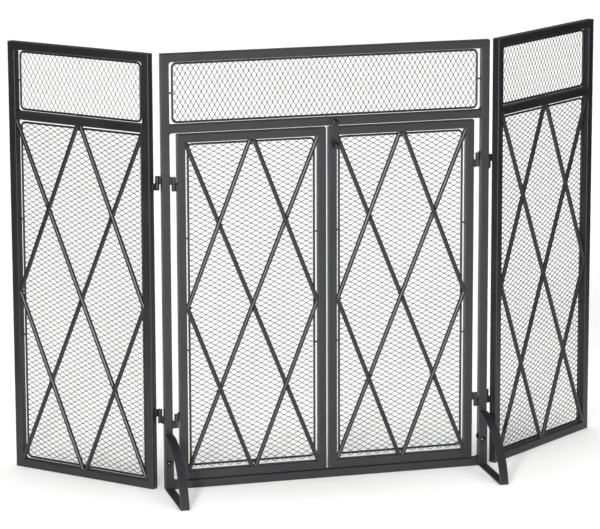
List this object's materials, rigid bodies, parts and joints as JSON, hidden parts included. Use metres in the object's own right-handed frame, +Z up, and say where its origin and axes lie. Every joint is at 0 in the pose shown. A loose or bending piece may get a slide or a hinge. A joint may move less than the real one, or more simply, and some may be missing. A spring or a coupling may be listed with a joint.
{
  "type": "fireplace screen",
  "caption": "Folding black steel fireplace screen: tube centre panel with hinged mesh doors under a mesh strip, side wings folded back, diamond rod lattice, strap feet, turning latch.",
  "frame": {"origin": "underside of the centre panel's bottom rail, half-way along it and at the middle of the tube's thickness, on the floor", "axes": "+X to the right as seen from the room, along the centre panel; +Y away from the room, towards the fire; +Z up"},
  "size_m": [1.1102, 0.364, 0.8],
  "materials": {
    "frame_tube": "satin black powder coat",
    "expanded_mesh": "matte black baked enamel",
    "wire": "satin black powder coat",
    "lattice_rod": "satin black powder coat",
    "hinge_steel": "satin black powder coat",
    "strap_foot": "satin black powder coat",
    "fastener": "satin black paint",
    "latch_strap": "satin black powder coat",
    "knob": "satin black powder coat"
  },
  "bodies": {
    "centre_panel": {"centre_bottom_rail": "frame_tube", "centre_left_stile": "frame_tube", "centre_mesh": "expanded_mesh", "centre_mesh_frame": "wire", "centre_mesh_tabs": "wire", "centre_middle_rail": "frame_tube", "centre_right_stile": "frame_tube", "centre_top_rail": "frame_tube", "foot_screws": "fastener", "hinge_pins": "hinge_steel", "latch_rivet": "fastener", "latch_spacer": "fastener", "left_foot": "strap_foot", "left_frame_knuckles": "hinge_steel", "right_foot": "strap_foot", "right_frame_knuckles": "hinge_steel"},
    "left_wing": {"left_wing_bottom_rail": "frame_tube", "left_wing_hinge_knuckles": "hinge_steel", "left_wing_hinge_stile": "frame_tube", "left_wing_lattice_rods": "lattice_rod", "left_wing_lower_mesh": "expanded_mesh", "left_wing_lower_mesh_frame": "wire", "left_wing_mesh_tabs": "wire", "left_wing_middle_rail": "frame_tube", "left_wing_outer_stile": "frame_tube", "left_wing_top_rail": "frame_tube", "left_wing_upper_mesh": "expanded_mesh", "left_wing_upper_mesh_frame": "wire"},
    "right_wing": {"right_wing_bottom_rail": "frame_tube", "right_wing_hinge_knuckles": "hinge_steel", "right_wing_hinge_stile": "frame_tube", "right_wing_lattice_rods": "lattice_rod", "right_wing_lower_mesh": "expanded_mesh", "right_wing_lower_mesh_frame": "wire", "right_wing_mesh_tabs": "wire", "right_wing_middle_rail": "frame_tube", "right_wing_outer_stile": "frame_tube", "right_wing_top_rail": "frame_tube", "right_wing_upper_mesh": "expanded_mesh", "right_wing_upper_mesh_frame": "wire"},
    "left_door": {"left_door_bottom_rail": "frame_tube", "left_door_hinge_knuckles": "hinge_steel", "left_door_hinge_stile": "frame_tube", "left_door_lattice_rods": "lattice_rod", "left_door_meeting_stile": "frame_tube", "left_door_mesh": "expanded_mesh", "left_door_mesh_frame": "wire", "left_door_mesh_tabs": "wire", "left_door_top_rail": "frame_tube"},
    "right_door": {"right_door_bottom_rail": "frame_tube", "right_door_hinge_knuckles": "hinge_steel", "right_door_hinge_stile": "frame_tube", "right_door_lattice_rods": "lattice_rod", "right_door_meeting_stile": "frame_tube", "right_door_mesh": "expanded_mesh", "right_door_mesh_frame": "wire", "right_door_mesh_tabs": "wire", "right_door_top_rail": "frame_tube"},
    "latch": {"latch_bar": "latch_strap", "latch_knob": "knob"}
  },
  "joints": [
    {"name": "left_wing_hinge", "type": "hinge", "parent": "centre_panel", "child": "left_wing", "pos_m": [-0.3098, 0.0105, 0.4], "axis": [0, 0, -1], "range_deg": [-45, 135]},
    {"name": "right_wing_hinge", "type": "hinge", "parent": "centre_panel", "child": "right_wing", "pos_m": [0.3098, 0.0105, 0.4], "axis": [0, 0, 1], "range_deg": [-36, 144]},
    {"name": "left_door_hinge", "type": "hinge", "parent": "centre_panel", "child": "left_door", "pos_m": [-0.28325, -0.0055, 0.34], "axis": [0, 0, -1], "range_deg": [0, 90]},
    {"name": "right_door_hinge", "type": "hinge", "parent": "centre_panel", "child": "right_door", "pos_m": [0.28325, -0.0055, 0.34], "axis": [0, 0, 1], "range_deg": [0, 90]},
    {"name": "latch_pivot", "type": "hinge", "parent": "centre_panel", "child": "latch", "pos_m": [0.012, -0.01035, 0.6645], "axis": [0, -1, 0], "range_deg": [-90, 90]}
  ]
}
